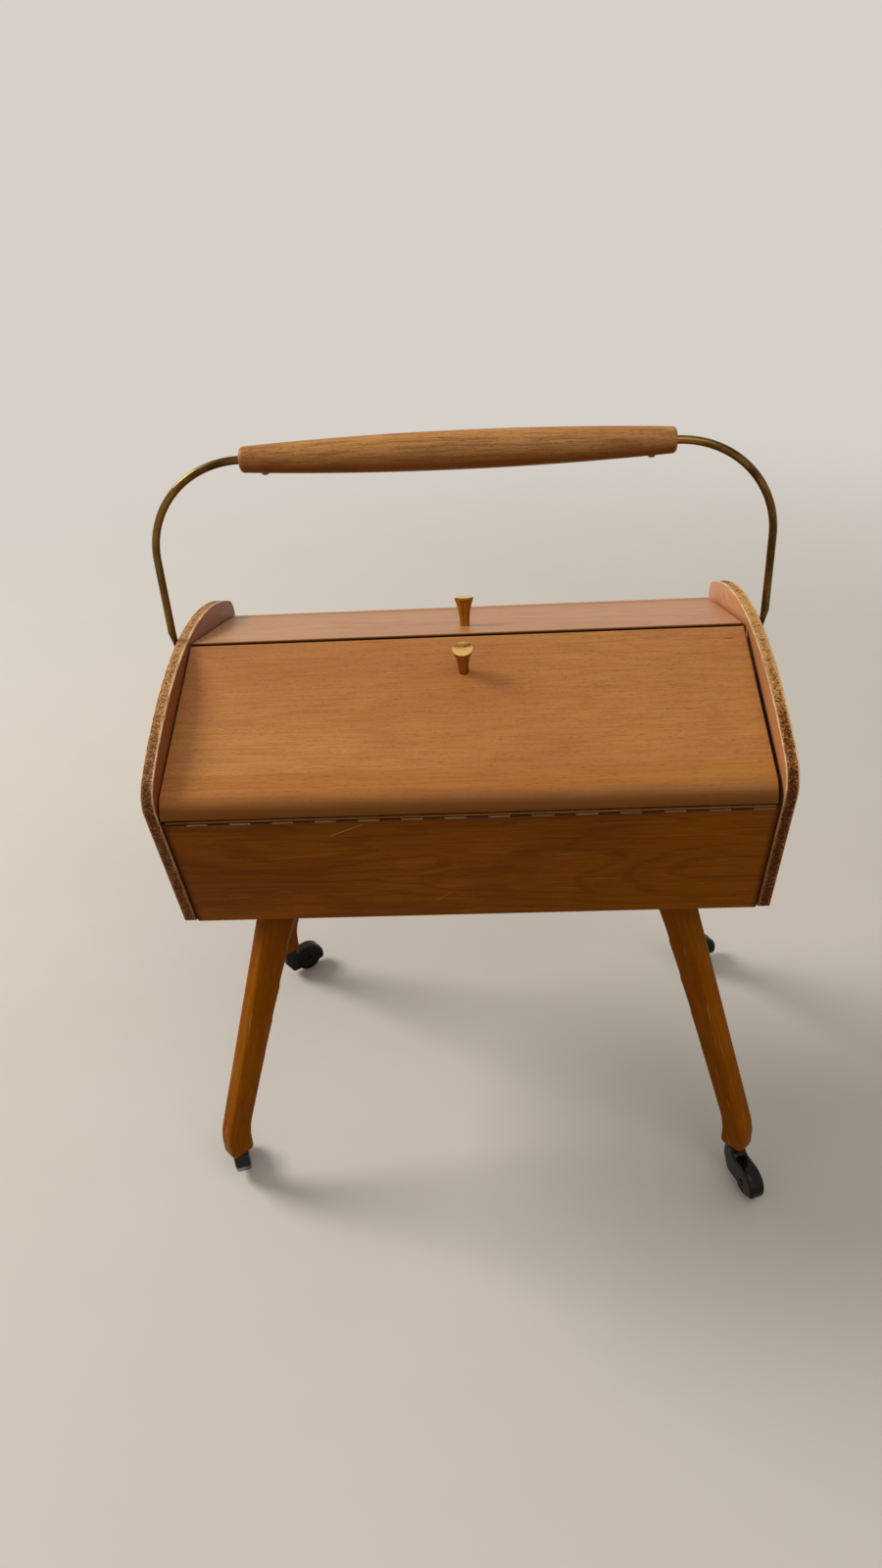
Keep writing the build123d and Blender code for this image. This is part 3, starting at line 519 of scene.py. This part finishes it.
# %% Dress the solids
finish_of = {
    "front_board": board_veneer, "rear_board": board_veneer, "bottom_board": plain_ply,
    "lid_rest": plain_ply, "front_lid_panel": front_veneer[0], "rear_lid_panel": rear_veneer[0],
    "front_lid_nosing": nosing[0], "rear_lid_nosing": nosing[0],
    "front_hinge_board": hinge_finish["board"], "rear_hinge_board": hinge_finish["board"],
    "front_hinge_lid": hinge_finish["lid"], "rear_hinge_lid": hinge_finish["lid"],
    "front_hinge_pin": steel, "rear_hinge_pin": steel, "front_knob_screw": steel,
    "rear_knob_screw": steel, "front_knob": knob_brass, "rear_knob": knob_brass,
    "handle_grip": grip[0], "handle_rod": aged_brass, "handle_pivot": screw_brass,
    "grip_screws": screw_brass, "leg_screws": steel, "caster_stem": dark_steel,
    "caster_axle": dark_steel, "caster_hood": caster_black, "caster_wheel": wheel_black,
    "end_panel": bare_veneer,
}
for name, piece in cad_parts.items():
    matches = [start for start in finish_of if name.startswith(start)]
    chosen = finish_of[max(matches, key=len)] if matches else leg_finish[name[len("leg_"):]]
    piece.data.materials.clear()
    piece.data.materials.append(chosen)
print("dressed", len(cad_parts))

# %% [markdown]
# The pieces whose shape changes all go the same way. A solid comes as patches of triangles, one
# for each of its faces, that aren't joined to each other. So a copy is joined at the corners and
# reshaped, often with modifiers, and the finished mesh rides on the body of the solid that it
# replaces. The solid itself stays as it is.

# %% Mesh helpers
WELD = 1e-6      # corners nearer than this become one


def welded(node_name):
    """A copy of a solid, with its patches joined at their corners."""
    shape = bmesh.new()
    shape.from_mesh(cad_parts[node_name].data)
    bmesh.ops.remove_doubles(shape, verts=shape.verts, dist=WELD)
    return shape


def mesh_from(name, shape):
    """Turn a shape under construction into a mesh."""
    mesh = bpy.data.meshes.new(name)
    shape.to_mesh(mesh)
    shape.free()
    return mesh


def linked(name, data):
    """A new object in the scene, from a mesh or a light."""
    thing = bpy.data.objects.new(name, data)
    bpy.context.scene.collection.objects.link(thing)
    return thing


def add_piece(name, mesh, body, slot, *replaced):
    """Put a finished mesh in the scene, on its body; the slot argument is not used."""
    mesh.name = name
    piece = linked(name, mesh)
    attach(piece, body)
    if replaced:
        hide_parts(*replaced)
    print(name, "faces", len(mesh.polygons), "on", body)
    return piece


leg_shape = welded("leg_front_left")
patch_corners = len(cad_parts["leg_front_left"].data.vertices)
print("a leg has", patch_corners, "corners in patches and", len(leg_shape.verts), "joined ones")
leg_shape.free()

# %% [markdown]
# The worn edge of an end panel is what the eye meets first, so it is real shape and not only
# colour. First the solid is cut halfway through its thickness to get its outline, and the outline
# is walked in even steps of about a millimetre. The cut also meets the bore for the handle's
# screw, so points near that bore are dropped.

# %% Outline of a panel
EDGE_STEP = 0.0010
BORE_ROUND = 0.004     # no point of the outline is this near the bore


def outline_of(node_name):
    """Points along a solid's middle section, evenly spaced, with their outward directions."""
    shape = welded(node_name)
    low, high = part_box(node_name)
    middle = (low + high) / 2
    everything = shape.verts[:] + shape.edges[:] + shape.faces[:]
    cut = bmesh.ops.bisect_plane(
        shape, geom=everything, plane_co=(middle.x, 0, 0), plane_no=(1, 0, 0))
    points = np.array([(v.co.y, v.co.z) for v in cut["geom_cut"]
                       if isinstance(v, bmesh.types.BMVert)])
    shape.free()
    bore_z = sum(corner.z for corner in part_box("handle_pivot_screws")) / 2
    points = points[np.hypot(points[:, 0], points[:, 1] - bore_z) > BORE_ROUND]
    points = points[np.argsort(np.arctan2(points[:, 1] - middle.z, points[:, 0]))]
    closed = np.vstack([points, points[:1]])
    walked = np.concatenate([[0], np.cumsum(np.hypot(*np.diff(closed, axis=0).T))])
    at = np.linspace(0, walked[-1], int(walked[-1] / EDGE_STEP), endpoint=False)
    even = np.column_stack([np.interp(at, walked, closed[:, k]) for k in (0, 1)])
    step = np.roll(even, -1, axis=0) - np.roll(even, 1, axis=0)
    normal = np.column_stack([step[:, 1], -step[:, 0]])
    normal /= np.linalg.norm(normal, axis=1)[:, None]
    return even, normal


print("outline of a panel has", len(outline_of("end_panel_left")[0]), "points")

# %% [markdown]
# Then rings of those points are laid through the thickness, from the inner face to the outer one.
# Rings in the core are eaten away by noise, and the veneer's rings at both sides stay crisp but
# for a few chips. Points only move inwards, so the panel stays inside its solid.

# %% Worn panels
THICKNESS = 0.009
VENEER = 0.0010
RINGS = [(0.0, 0.0008), (0.00025, 0.00025), (VENEER, 0.0)]      # depth from the face, inset
CORE_RINGS = 11
CORE_MARGIN = 0.00005
CORE_INSET = 0.00006
core_depths = np.linspace(VENEER + CORE_MARGIN, THICKNESS - VENEER - CORE_MARGIN, CORE_RINGS)
panel_rings = (RINGS + [(depth, CORE_INSET) for depth in core_depths]
               + [(THICKNESS - depth, inset) for depth, inset in RINGS[::-1]])


def is_core(depth):
    """Whether a depth lies between the two veneers."""
    return VENEER < depth < THICKNESS - VENEER


# Each kind of wear has the scale of its noise and its depth.
CRUMB_SCALE, SMALL_CRUMB_SCALE, CRUMB_DEPTH = 620.0, 1500.0, 0.0007
HOLLOW_SCALE, HOLLOW_DEPTH = 160.0, 0.0003
CHIP_SCALE, CHIP_DEPTH = 140.0, 0.0016
EVEN_WEAR = 0.00012
CRUMB_LEVEL, CHIP_LEVEL = 0.05, 0.32      # nothing is lost where the noise stays below these
CHIP_SHIFT = Vector((7, 3, 1))


def eaten(point, in_core):
    """How far the edge has worn back at a point."""
    if in_core:
        small = 0.5 * noise.noise(point * SMALL_CRUMB_SCALE)
        crumbs = max(0.0, noise.noise(point * CRUMB_SCALE) + small - CRUMB_LEVEL)
        hollow = max(0.0, noise.noise(point * HOLLOW_SCALE))
        return EVEN_WEAR + crumbs * CRUMB_DEPTH + hollow * HOLLOW_DEPTH
    chip = noise.noise(point * CHIP_SCALE + CHIP_SHIFT)
    return max(0.0, chip - CHIP_LEVEL) * CHIP_DEPTH


def worn_panel(side, core):
    """An end panel with a worn edge; its finishes are veneer, bare veneer and core."""
    node_name = "end_panel_" + side
    low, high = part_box(node_name)
    sign, inner = (1, low.x) if side == "right" else (-1, high.x)
    even, normal = outline_of(node_name)
    shape = bmesh.new()
    loops = []
    for depth, inset in panel_rings:
        loop = []
        for (y, z), (ny, nz) in zip(even, normal):
            point = Vector((inner + sign * depth, y, z))
            back = inset + eaten(point, is_core(depth))
            loop.append(shape.verts.new((point.x, y - ny * back, z - nz * back)))
        loops.append(loop)
    count = len(even)
    for ring, (loop, next_loop) in enumerate(zip(loops, loops[1:])):
        in_core = is_core((panel_rings[ring][0] + panel_rings[ring + 1][0]) / 2)
        for k in range(count):
            after = (k + 1) % count
            face = shape.faces.new((loop[k], loop[after], next_loop[after], next_loop[k]))
            face.material_index = 2 if in_core else 1
            face.smooth = not in_core
    for loop in (loops[0], loops[-1]):
        shape.faces.new(loop).material_index = 0
    bmesh.ops.recalc_face_normals(shape, faces=shape.faces)
    bmesh.ops.triangulate(shape, faces=[f for f in shape.faces if len(f.verts) > 4])
    name = "worn_panel_" + side
    mesh = mesh_from(name, shape)
    for finish in (panel_finish[side], bare_veneer, core):
        mesh.materials.append(finish)
    add_piece(name, mesh, "root", "panel_veneer", node_name)


worn_panel("left", core_left)
worn_panel("right", core_right)

# %% [markdown]
# Every screw that can be seen has a slot across its head. For the screws that the model already
# has, the slot is cut out of a copy of their solids with a Boolean modifier: a row of thin boxes,
# one across each head, each turned another way, as a screwdriver leaves them. What the modifier
# shows is then kept as a plain mesh, with no modifier left on it.

# %% Slots in the model's screws
SLOT_SHARE = 0.2       # of the head's width
FIRST_TURN, NEXT_TURN = 0.5, 1.9      # radians


def separate_boxes(shape):
    """The lowest and highest corner of each separate solid in a mesh."""
    left = set(shape.verts)
    boxes = []
    while left:
        group, waiting = [], [left.pop()]
        while waiting:
            vert = waiting.pop()
            group.append(vert.co)
            fresh = {edge.other_vert(vert) for edge in vert.link_edges} & left
            left -= fresh
            waiting.extend(fresh)
        boxes.append([Vector([pick(co[k] for co in group) for k in range(3)])
                      for pick in (min, max)])
    return sorted(boxes, key=lambda box: tuple(box[0]))


def plain_mesh(thing):
    """The mesh that a piece shows with its modifiers, after which the piece is taken away."""
    bpy.context.view_layer.update()
    evaluated = thing.evaluated_get(bpy.context.evaluated_depsgraph_get())
    mesh = bpy.data.meshes.new_from_object(evaluated)
    bpy.data.objects.remove(thing)
    return mesh


def paint_all(mesh, finish):
    """Give the whole mesh one finish."""
    mesh.materials.clear()
    mesh.materials.append(finish)
    return mesh


def cut_slots(name, node_name, body, slot, finish, head_radius, slot_depth, head_side):
    """Copy a group of screws and cut a slot across each head; head_side points out of the head."""
    shape = welded(node_name)
    boxes = separate_boxes(shape)
    screws = linked(name, mesh_from(name, shape))
    cutters = bmesh.new()
    for index, (low, high) in enumerate(boxes):
        middle = (low + high) / 2
        out = head_side(middle)
        reach = (high - low) / 2
        head = Matrix.Translation(middle + Vector([out[k] * reach[k] for k in range(3)]))
        size = Matrix.Diagonal((3 * head_radius, 2 * SLOT_SHARE * head_radius, 2 * slot_depth, 1))
        face_out = out.to_track_quat("Z", "Y").to_matrix().to_4x4()
        spin = Matrix.Rotation(FIRST_TURN + NEXT_TURN * index, 4, "Z")
        bmesh.ops.create_cube(cutters, size=1.0, matrix=head @ face_out @ spin @ size)
    boxes_to_cut = linked("cutters", mesh_from("cutters", cutters))
    cut = screws.modifiers.new("slots", "BOOLEAN")
    cut.object = boxes_to_cut
    cut.solver = "EXACT"
    result = plain_mesh(screws)
    bpy.data.objects.remove(boxes_to_cut)
    return add_piece(name, paint_all(result, finish), body, slot, node_name)


cut_slots("slotted_pivot_screws", "handle_pivot_screws", "root", "screw_brass", screw_brass,
          head_radius=0.0042, slot_depth=0.0011,
          head_side=lambda middle: Vector((1 if middle.x > 0 else -1, 0, 0)))
cut_slots("slotted_grip_screws", "grip_screws", "handle", "screw_brass", screw_brass,
          head_radius=0.0029, slot_depth=0.0007, head_side=lambda middle: Vector((0, 0, -1)))
cut_slots("slotted_leg_screws", "leg_screws", "root", "screw_steel", steel,
          head_radius=0.0045, slot_depth=0.0012, head_side=lambda middle: Vector((0, 0, 1)))

# %% [markdown]
# Two kinds of piece have no sharp edge anywhere. A moulded caster hood comes out of its mould with
# round edges and a skin that catches the light along them, and a leg's corners were sanded and
# then knocked round by years of use. A bevel would need clean edges, and these solids are uneven
# triangles all over, so each is rebuilt on a fine grid with the Remesh modifier and then smoothed:
# edges sink and round off, while broad faces stay where they are. A vertex group keeps the
# smoothing away from the top of each piece, where it has to meet its neighbour without a gap, and
# from the upright bore in a hood. The grid leaves that bore a little uneven, so afterwards it gets
# its round wall and flat bottom back, wide enough for the caster's pin to turn in.

# %% Rounded hoods and legs
HOOD_GRID, HOOD_PASSES, HOOD_KEPT = 0.00045, 30, 0.0012     # grid, passes, kept below the top
LEG_GRID, LEG_PASSES, LEG_KEPT = 0.0011, 22, 0.012
BORE_REACH = 0.0042    # from a bore's axis to just behind its wall
PIN_RADIUS = 0.0030
PIN_GAP = 0.00005
PIN_END_GAP = 0.0003
END_REACH = 0.0008     # points this near the pin's end belong to the bore's bottom


def rounded(name, node_name, body, slot, finish, grid, passes, below, bore):
    """A copy of a solid with its edges rounded off below a height, in place of the solid."""
    copy = linked(name, mesh_from(name, welded(node_name)))
    rebuild = copy.modifiers.new("grid", "REMESH")
    rebuild.mode = "VOXEL"
    rebuild.voxel_size = grid
    rebuild.use_smooth_shade = True
    copy = linked(name, plain_mesh(copy))
    group = copy.vertex_groups.new(name="worn")
    worn = [v.index for v in copy.data.vertices
            if v.co.z < below and (v.co.xy - bore).length > BORE_REACH]
    group.add(worn, 1.0, "REPLACE")
    relax = copy.modifiers.new("relax", "SMOOTH")
    relax.factor = 0.5
    relax.iterations = passes
    relax.vertex_group = group.name
    return add_piece(name, paint_all(plain_mesh(copy), finish), body, slot, node_name)


def square_bore(piece, bore, pin_end):
    """Give the bore in a hood a round wall again, and a flat bottom below the pin's end."""
    for vert in piece.data.vertices:
        out = vert.co.xy - bore
        if out.length > PIN_RADIUS + 2 * PIN_GAP or vert.co.z < pin_end - END_REACH:
            continue
        if out.length < PIN_RADIUS and vert.co.z < pin_end + END_REACH:
            vert.co.z = pin_end - PIN_END_GAP
        if out.length > 0.8 * PIN_RADIUS:
            vert.co.xy = bore + out.normalized() * (PIN_RADIUS + PIN_GAP)


hood_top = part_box("caster_hood_front_left")[1].z
leg_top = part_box("leg_front_left")[1].z
for place_name in leg_finish:
    stem_low, stem_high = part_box("caster_stem_" + place_name)
    bore = (stem_low + stem_high).xy / 2
    hood = rounded(
        "rounded_hood_" + place_name, "caster_hood_" + place_name, "swivel_" + place_name,
        "caster_black", caster_black, HOOD_GRID, HOOD_PASSES, hood_top - HOOD_KEPT, bore)
    square_bore(hood, bore, stem_low.z)
    rounded(
        "rounded_leg_" + place_name, "leg_" + place_name, "root",
        "leg_beech", leg_finish[place_name], LEG_GRID, LEG_PASSES, leg_top - LEG_KEPT, bore)

# %% [markdown]
# A piano hinge is held by a row of small screws along each leaf, with low oval heads. The heads
# are all alike and evenly spaced, which is what Geometry Nodes are for: one head is made once, a
# line of points is laid out, and the head is put on every point with a turn of its own. The
# tree's inputs have names, so that its sizes can be read and changed on the modifier.

# %% Tree for a row of screw heads
INPUTS = {"Count": "Int", "Row Length": "Float", "Head Radius": "Float", "Head Height": "Float",
          "Slot Width": "Float", "Slot Depth": "Float", "Seed": "Int", "Finish": "Material"}


def screw_row_tree():
    """The node tree that makes one row of slotted heads along X."""
    tree = bpy.data.node_groups.new("hinge_screw_row", "GeometryNodeTree")
    sockets = tree.interface
    sockets.new_socket("Geometry", in_out="OUTPUT", socket_type="NodeSocketGeometry")
    for label, kind in INPUTS.items():
        sockets.new_socket(label, in_out="INPUT", socket_type="NodeSocket" + kind)
    given = put(tree, "NodeGroupInput").outputs

    ball = put(tree, "GeometryNodeMeshUVSphere",
               {"Segments": 24, "Rings": 10, "Radius": given["Head Radius"]}).outputs["Mesh"]
    parts = parts_of(tree, put(tree, "GeometryNodeInputPosition").outputs[0])
    squeeze = maths(tree, "DIVIDE", given["Head Height"], given["Head Radius"])
    squeezed = maths(tree, "MULTIPLY", parts[2], squeeze)
    underside = maths(tree, "MULTIPLY", given["Head Height"], -0.5)
    flat = maths(tree, "MAXIMUM", squeezed, underside)
    place = put(tree, "ShaderNodeCombineXYZ", {0: parts[0], 1: parts[1], 2: flat}).outputs[0]
    head = put(tree, "GeometryNodeSetPosition", {"Geometry": ball, "Position": place}).outputs[0]

    long = maths(tree, "MULTIPLY", given["Head Radius"], 3.0)
    deep = maths(tree, "MULTIPLY", given["Slot Depth"], 2.0)
    size = put(tree, "ShaderNodeCombineXYZ", {0: long, 1: given["Slot Width"], 2: deep}).outputs[0]
    bar = put(tree, "GeometryNodeMeshCube", {"Size": size}).outputs["Mesh"]
    lift = put(tree, "ShaderNodeCombineXYZ", {2: given["Head Height"]}).outputs[0]
    bar = put(tree, "GeometryNodeTransform", {"Geometry": bar, "Translation": lift}).outputs[0]
    slotted = put(tree, "GeometryNodeMeshBoolean", {"Mesh 1": head, "Mesh 2": bar},
                  operation="DIFFERENCE").outputs["Mesh"]

    half = maths(tree, "MULTIPLY", given["Row Length"], -0.5)
    start = put(tree, "ShaderNodeCombineXYZ", {0: half}).outputs[0]
    spaces = maths(tree, "SUBTRACT", given["Count"], 1.0)
    step = maths(tree, "DIVIDE", given["Row Length"], spaces)
    offset = put(tree, "ShaderNodeCombineXYZ", {0: step}).outputs[0]
    row = put(tree, "GeometryNodeMeshLine",
              {"Count": given["Count"], "Start Location": start, "Offset": offset}).outputs["Mesh"]
    chance = put(tree, "FunctionNodeRandomValue", {"Seed": given["Seed"]}, data_type="FLOAT")
    chance.inputs[3].default_value = pi
    spin = put(tree, "ShaderNodeCombineXYZ", {2: chance.outputs[1]}).outputs[0]
    spin = put(tree, "FunctionNodeEulerToRotation", {0: spin}).outputs[0]
    heads = put(tree, "GeometryNodeInstanceOnPoints",
                {"Points": row, "Instance": slotted, "Rotation": spin}).outputs[0]
    real = put(tree, "GeometryNodeRealizeInstances", {"Geometry": heads}).outputs[0]
    painted = put(tree, "GeometryNodeSetMaterial", {"Geometry": real, "Material": given["Finish"]})
    put(tree, "NodeGroupOutput", {0: painted.outputs[0]})
    return tree


screw_row = screw_row_tree()
print("nodes in the tree", len(screw_row.nodes))

# %% [markdown]
# A row is needed on each of the four leaves. The leaves on the boards belong to the box and have
# their heads on top; those on the lids swing with the lids and have them underneath. Rows on the
# same body become one piece.

# %% Hinge screws
LEAF_MIDDLE_Y = 0.15099
LEAF_FACE = {"board": 0.4030, "lid": 0.4050}      # heights that the heads stand on
ROW = {"Count": 9, "Row Length": 0.384, "Head Radius": 0.0022, "Head Height": 0.0004,
       "Slot Width": 0.0007, "Slot Depth": 0.0003, "Finish": steel}


def screw_rows(name, body, rows):
    """Rows of heads on one body; each row is (side of the box, leaf, seed)."""
    whole = bmesh.new()
    for side, leaf, seed in rows:
        host = linked(name, bpy.data.meshes.new(name))
        grow = host.modifiers.new("row", "NODES")
        grow.node_group = screw_row
        for item in screw_row.interface.items_tree:
            if item.in_out == "INPUT":
                grow[item.identifier] = {**ROW, "Seed": seed}[item.name]
        mesh = plain_mesh(host)
        up = Matrix.Rotation(0.0 if leaf == "board" else pi, 4, "X")
        place = Matrix.Translation((0, side * LEAF_MIDDLE_Y, LEAF_FACE[leaf]))
        mesh.transform(place @ up)
        whole.from_mesh(mesh)
        bpy.data.meshes.remove(mesh)
    add_piece(name, paint_all(mesh_from(name, whole), steel), body, "screw_steel")


screw_rows("hinge_board_screws", "root", [(-1, "board", 3), (1, "board", 4)])
screw_rows("front_hinge_lid_screws", "front_lid", [(-1, "lid", 5)])
screw_rows("rear_hinge_lid_screws", "rear_lid", [(1, "lid", 6)])

# %% [markdown]
# The floor is one large pale sheet. It looks pale to the camera and in reflections, and far from
# the box it fades into the colour of the background, so that no horizon shows. For light that
# bounces off it onto the box it counts as a mid brown floor, so that the box's front keeps the
# deep shade that it has in a room with a wooden floor.

# %% Floor
FLOOR_HALF = 30.0
FADE = (0.7, 2.2)      # distances from the middle between which the floor fades
BACKGROUND = paint(214, 208, 201)


def seen_directly(tree):
    """1 for rays from the camera, a mirror or glass, and 0 for rays that only carry light."""
    rays = put(tree, "ShaderNodeLightPath").outputs
    mirrored = maths(tree, "ADD", rays["Is Glossy Ray"], rays["Is Transmission Ray"])
    return maths(tree, "ADD", rays["Is Camera Ray"], mirrored, clamp=True)


floor_mesh = bpy.data.meshes.new("floor")
corners = [(-1, -1), (1, -1), (1, 1), (-1, 1)]
corners = [(x * FLOOR_HALF, y * FLOOR_HALF, 0) for x, y in corners]
floor_mesh.from_pydata(corners, [], [(0, 1, 2, 3)])
floor = linked("floor", floor_mesh)

floor_finish, tree, shader = new_finish("floor_finish", roughness=0.85)
seen = seen_directly(tree)
place = object_place(tree)
mottle = cloud(tree, place, 5.0, 4.0, 0.6)
pale = blend_colour(tree, mottle, paint(214, 208, 200), paint(206, 199, 190))
away = put(tree, "ShaderNodeVectorMath", {0: place}, operation="LENGTH").outputs["Value"]
far = maths(tree, "MULTIPLY", between(tree, away, *FADE), seen)
near_colour = blend_colour(tree, seen, paint(120, 96, 72), pale)
join(tree, blend_colour(tree, far, near_colour, paint(0, 0, 0)), shader, "Base Color")
shader.inputs["Emission Color"].default_value = BACKGROUND
join(tree, far, shader, "Emission Strength")
shader.inputs["Specular IOR Level"].default_value = 0.0
floor_mesh.materials.append(floor_finish)
print("floor fades between", FADE, "m")

# %% [markdown]
# The light is a large window to the left and a little behind the box, with the pale room as
# fill. Lamps are soft, and together they light a level surface at about full strength, so that
# a colour comes out nearly as it was written.

# %% Light
ROOM_LIGHT = 0.42      # what the room's walls give, against 1 for how bright they look


def lamp(name, place, aim, size, watts, colour):
    """A round lamp at a place, turned towards an aim."""
    light = bpy.data.lights.new(name, "AREA")
    light.shape = "DISK"
    light.size = size
    light.energy = watts
    light.color = colour
    towards = (Vector(aim) - Vector(place)).to_track_quat("-Z", "Y").to_matrix().to_4x4()
    linked(name, light).matrix_world = Matrix.Translation(place) @ towards


lamp("window", place=(-2.73, 0.78, 2.56), aim=(0, 0, 0.35), size=1.56, watts=94.0,
     colour=(1.0, 0.97, 0.92))
lamp("room", place=(0.8, -1.6, 2.6), aim=(0, 0, 0.3), size=2.0, watts=14.0,
     colour=(1.0, 0.98, 0.96))

world = bpy.data.worlds.new("room")
bpy.context.scene.world = world
world.use_nodes = True
tree = world.node_tree
air = tree.nodes["Background"]
seen = seen_directly(tree)
join(tree, blend_colour(tree, seen, paint(255, 250, 243), BACKGROUND), air, "Color")
join(tree, between(tree, seen, 0.0, 1.0, ROOM_LIGHT, 1.0), air, "Strength")
print("lamps", [light.name for light in bpy.data.lights])
